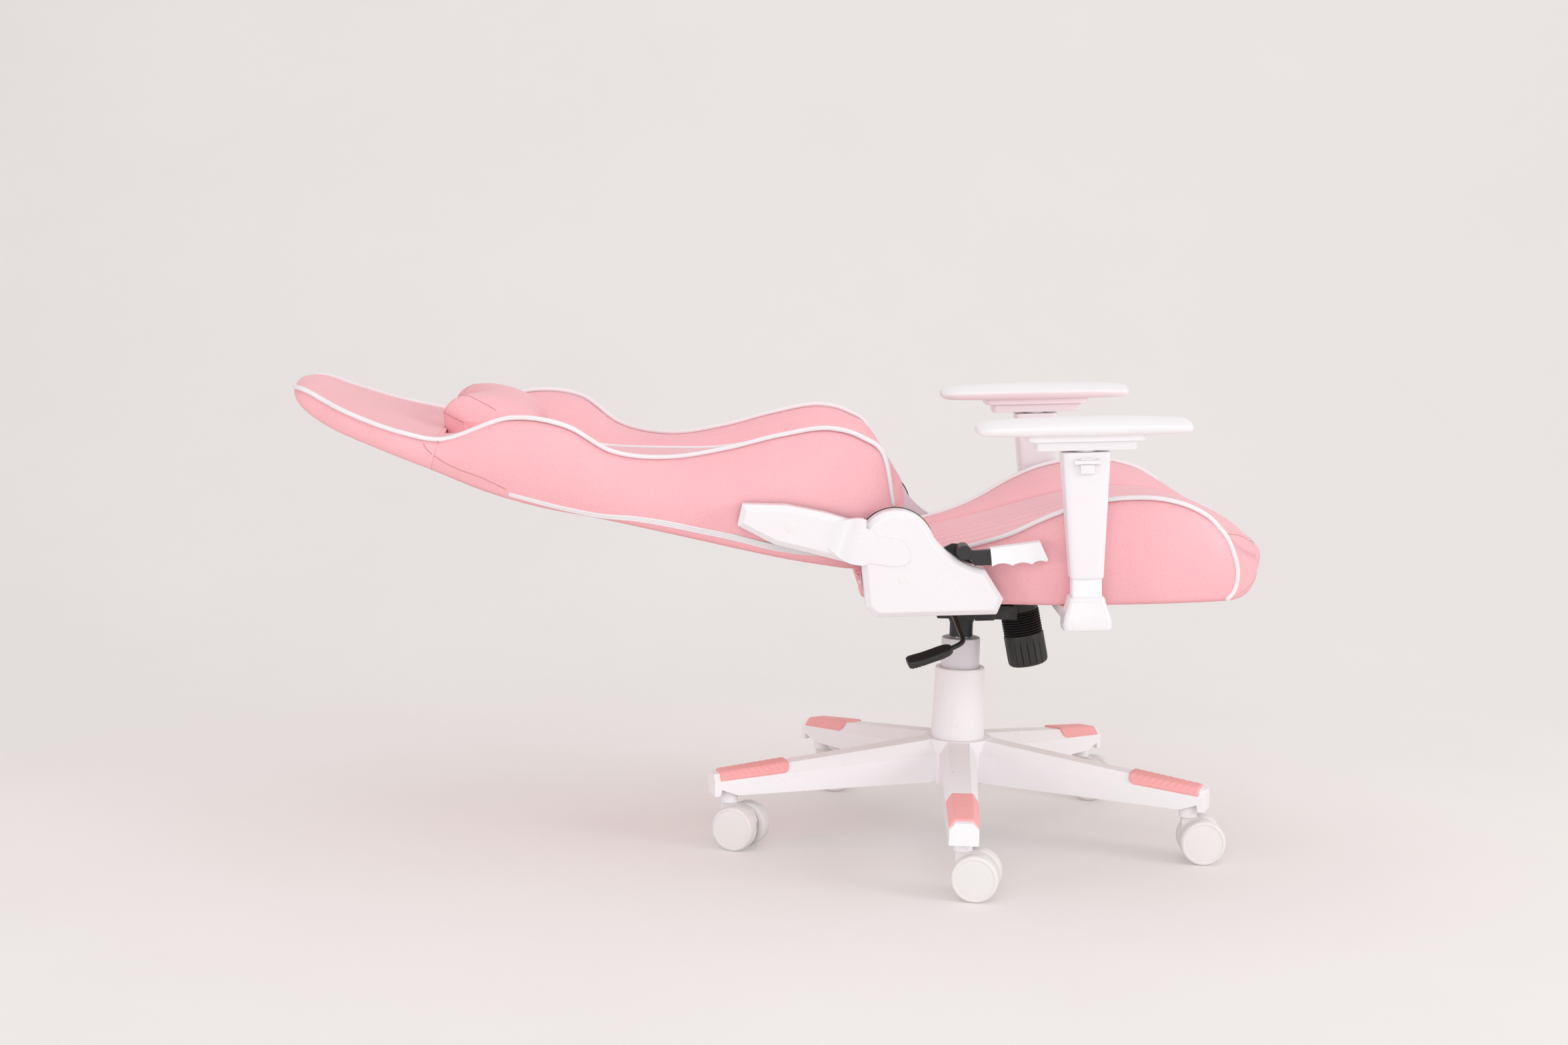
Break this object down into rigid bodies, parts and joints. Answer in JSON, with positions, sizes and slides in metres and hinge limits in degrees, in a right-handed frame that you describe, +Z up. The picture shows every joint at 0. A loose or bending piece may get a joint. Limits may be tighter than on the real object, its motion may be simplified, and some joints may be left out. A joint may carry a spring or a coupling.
{
  "type": "reclining gaming chair",
  "caption": "Reclining swivel chair with winged back, bolstered seat, neck pillow, height-adjustable armrests, tilt mechanism, gas lift and star base on twin-wheel casters.",
  "frame": {"origin": "on the floor, on the axis of the gas lift", "axes": "+X towards the front of the seat, +Y towards the sitter's left, +Z up"},
  "size_m": [1.306, 0.6748, 0.6183],
  "materials": {
    "white_nylon": "smooth satin white moulding",
    "coral_pad": "soft matte coral pad",
    "lilac_cover": "smooth satin pale lilac-grey tube",
    "black_metal": "semi-gloss black powder coat",
    "black_plastic": "fine-grained black moulding",
    "black_rubber": "matte black rubber",
    "bright_steel": "bright turned steel",
    "pink_cover": "pink leather-look cover over foam",
    "panel_cloth": "dusty pink stitched cloth over foam",
    "board": "plain plywood",
    "soft_white": "soft white armrest pad"
  },
  "bodies": {
    "base": {"star_base": "white_nylon", "leg_pads": "coral_pad", "gas_column": "black_metal", "column_cover_lower": "white_nylon"},
    "lift": {"gas_piston": "bright_steel", "column_cover_upper": "lilac_cover"},
    "swivel": {"mech_housing": "black_metal", "rock_pin": "bright_steel", "spring_bellows": "black_rubber", "tension_spring": "bright_steel"},
    "tension_knob": {"tension_knob": "black_plastic"},
    "lever_bush": {"lever_bush": "black_plastic"},
    "lift_lever": {"lift_lever_rod": "black_metal", "lift_lever_paddle": "black_plastic"},
    "seat": {"tilt_plate": "black_metal", "seat_pan": "board", "seat_bolts": "bright_steel", "seat_cushion": "panel_cloth", "seat_bolster_right": "pink_cover", "seat_bolster_left": "pink_cover", "hinge_cover_right": "white_nylon", "hinge_cover_left": "white_nylon", "recliner_plates": "black_metal", "recline_pins": "bright_steel", "arm_brackets": "black_metal", "arm_posts": "white_nylon"},
    "back": {"back_frame": "black_metal", "back_cushion": "panel_cloth", "head_cushion": "pink_cover", "back_wing_right": "pink_cover", "back_wing_left": "pink_cover", "back_arms": "black_metal", "back_arm_cover_right": "white_nylon", "back_arm_cover_left": "white_nylon", "headrest_pillow": "pink_cover"},
    "recline_lever": {"recline_lever": "black_metal", "recline_grip": "white_nylon"},
    "arm_sleeve_right": {"arm_sleeve_right": "white_nylon"},
    "arm_trigger_right": {"arm_trigger_right": "white_nylon"},
    "arm_head_right": {"arm_head_right": "white_nylon"},
    "arm_pad_right": {"arm_pad_right": "soft_white"},
    "arm_sleeve_left": {"arm_sleeve_left": "white_nylon"},
    "arm_trigger_left": {"arm_trigger_left": "white_nylon"},
    "arm_head_left": {"arm_head_left": "white_nylon"},
    "arm_pad_left": {"arm_pad_left": "soft_white"},
    "caster_1": {"caster_1_housing": "white_nylon"},
    "caster_1_wheel_a": {"caster_1_wheel_a": "white_nylon"},
    "caster_1_wheel_b": {"caster_1_wheel_b": "white_nylon"},
    "caster_2": {"caster_2_housing": "white_nylon"},
    "caster_2_wheel_a": {"caster_2_wheel_a": "white_nylon"},
    "caster_2_wheel_b": {"caster_2_wheel_b": "white_nylon"},
    "caster_3": {"caster_3_housing": "white_nylon"},
    "caster_3_wheel_a": {"caster_3_wheel_a": "white_nylon"},
    "caster_3_wheel_b": {"caster_3_wheel_b": "white_nylon"},
    "caster_4": {"caster_4_housing": "white_nylon"},
    "caster_4_wheel_a": {"caster_4_wheel_a": "white_nylon"},
    "caster_4_wheel_b": {"caster_4_wheel_b": "white_nylon"},
    "caster_5": {"caster_5_housing": "white_nylon"},
    "caster_5_wheel_a": {"caster_5_wheel_a": "white_nylon"},
    "caster_5_wheel_b": {"caster_5_wheel_b": "white_nylon"}
  },
  "joints": [
    {"name": "recline", "type": "hinge", "parent": "seat", "child": "back", "pos_m": [-0.11016, 0, 0.43308], "axis": [0, 1, 0], "range_deg": [0, 75]},
    {"name": "rock", "type": "hinge", "parent": "swivel", "child": "seat", "pos_m": [0.025, 0, 0.323], "axis": [0, -1, 0], "range_deg": [0, 12], "stiffness_Nm_per_rad": 160, "springref_deg": -34.38},
    {"name": "lift", "type": "slide", "parent": "base", "child": "lift", "axis": [0, 0, 1], "range_m": [-0.035, 0.05]},
    {"name": "swivel", "type": "hinge", "parent": "lift", "child": "swivel", "pos_m": [0, 0, 0.3], "axis": [0, 0, 1], "continuous": true},
    {"name": "recline_lever", "type": "hinge", "parent": "seat", "child": "recline_lever", "pos_m": [-0.02347, -0.245, 0.43101], "axis": [0, -1, 0], "range_deg": [0, 25], "stiffness_Nm_per_rad": 0.6, "springref_deg": -14.32},
    {"name": "lift_lever_raise", "type": "hinge", "parent": "swivel", "child": "lever_bush", "pos_m": [-0.02, -0.062, 0.3235], "axis": [-1, 0, 0], "range_deg": [0, 8], "stiffness_Nm_per_rad": 1, "springref_deg": -17.19},
    {"name": "lift_lever_pull", "type": "slide", "parent": "lever_bush", "child": "lift_lever", "axis": [0, -1, 0], "range_m": [0, 0.01]},
    {"name": "tension_knob", "type": "hinge", "parent": "swivel", "child": "tension_knob", "pos_m": [0.079, 0, 0.318], "axis": [0.2079, 0, -0.9781], "continuous": true},
    {"name": "arm_height_right", "type": "slide", "parent": "seat", "child": "arm_sleeve_right", "axis": [-0.0454, 0, 0.999], "range_m": [-0.022, 0.05]},
    {"name": "arm_turn_right", "type": "hinge", "parent": "arm_sleeve_right", "child": "arm_head_right", "pos_m": [0.1235, -0.266, 0.56712], "axis": [-0.0454, 0, 0.999], "range_deg": [-20, 20]},
    {"name": "arm_pad_slide_right", "type": "slide", "parent": "arm_head_right", "child": "arm_pad_right", "axis": [0.999, 0, 0.0454], "range_m": [-0.03, 0.03]},
    {"name": "arm_trigger_right", "type": "slide", "parent": "arm_sleeve_right", "child": "arm_trigger_right", "axis": [-0.0454, 0, 0.999], "range_m": [0, 0.006], "stiffness_N_per_m": 60, "springref_m": -0.004},
    {"name": "arm_height_left", "type": "slide", "parent": "seat", "child": "arm_sleeve_left", "axis": [-0.0454, 0, 0.999], "range_m": [-0.022, 0.05]},
    {"name": "arm_turn_left", "type": "hinge", "parent": "arm_sleeve_left", "child": "arm_head_left", "pos_m": [0.1235, 0.266, 0.56712], "axis": [-0.0454, 0, 0.999], "range_deg": [-20, 20]},
    {"name": "arm_pad_slide_left", "type": "slide", "parent": "arm_head_left", "child": "arm_pad_left", "axis": [0.999, 0, 0.0454], "range_m": [-0.03, 0.03]},
    {"name": "arm_trigger_left", "type": "slide", "parent": "arm_sleeve_left", "child": "arm_trigger_left", "axis": [-0.0454, 0, 0.999], "range_m": [0, 0.006], "stiffness_N_per_m": 60, "springref_m": -0.004},
    {"name": "caster_1_swivel", "type": "hinge", "parent": "base", "child": "caster_1", "pos_m": [-0.02001, -0.32438, 0.06], "axis": [0, 0, 1], "continuous": true},
    {"name": "caster_2_swivel", "type": "hinge", "parent": "base", "child": "caster_2", "pos_m": [0.30232, -0.11927, 0.06], "axis": [0, 0, 1], "continuous": true},
    {"name": "caster_3_swivel", "type": "hinge", "parent": "base", "child": "caster_3", "pos_m": [0.20686, 0.25067, 0.06], "axis": [0, 0, 1], "continuous": true},
    {"name": "caster_4_swivel", "type": "hinge", "parent": "base", "child": "caster_4", "pos_m": [-0.17448, 0.27419, 0.06], "axis": [0, 0, 1], "continuous": true},
    {"name": "caster_5_swivel", "type": "hinge", "parent": "base", "child": "caster_5", "pos_m": [-0.31469, -0.08121, 0.06], "axis": [0, 0, 1], "continuous": true},
    {"name": "caster_1_roll_a", "type": "hinge", "parent": "caster_1", "child": "caster_1_wheel_a", "pos_m": [-0.00143, -0.32833, 0.03], "axis": [0.2079, 0.9781, 0], "continuous": true},
    {"name": "caster_1_roll_b", "type": "hinge", "parent": "caster_1", "child": "caster_1_wheel_b", "pos_m": [-0.00143, -0.32833, 0.03], "axis": [0.2079, 0.9781, 0], "continuous": true},
    {"name": "caster_2_roll_a", "type": "hinge", "parent": "caster_2", "child": "caster_2_wheel_a", "pos_m": [0.32131, -0.11993, 0.03], "axis": [0.0349, 0.9994, 0], "continuous": true},
    {"name": "caster_2_roll_b", "type": "hinge", "parent": "caster_2", "child": "caster_2_wheel_b", "pos_m": [0.32131, -0.11993, 0.03], "axis": [0.0349, 0.9994, 0], "continuous": true},
    {"name": "caster_3_roll_a", "type": "hinge", "parent": "caster_3", "child": "caster_3_wheel_a", "pos_m": [0.22471, 0.24417, 0.03], "axis": [0.342, 0.9397, 0], "continuous": true},
    {"name": "caster_3_roll_b", "type": "hinge", "parent": "caster_3", "child": "caster_3_wheel_b", "pos_m": [0.22471, 0.24417, 0.03], "axis": [0.342, 0.9397, 0], "continuous": true},
    {"name": "caster_4_roll_a", "type": "hinge", "parent": "caster_4", "child": "caster_4_wheel_a", "pos_m": [-0.15548, 0.27419, 0.03], "axis": [0, 1, 0], "continuous": true},
    {"name": "caster_4_roll_b", "type": "hinge", "parent": "caster_4", "child": "caster_4_wheel_b", "pos_m": [-0.15548, 0.27419, 0.03], "axis": [0, 1, 0], "continuous": true},
    {"name": "caster_5_roll_a", "type": "hinge", "parent": "caster_5", "child": "caster_5_wheel_a", "pos_m": [-0.29791, -0.09013, 0.03], "axis": [0.4695, 0.8829, 0], "continuous": true},
    {"name": "caster_5_roll_b", "type": "hinge", "parent": "caster_5", "child": "caster_5_wheel_b", "pos_m": [-0.29791, -0.09013, 0.03], "axis": [0.4695, 0.8829, 0], "continuous": true}
  ]
}
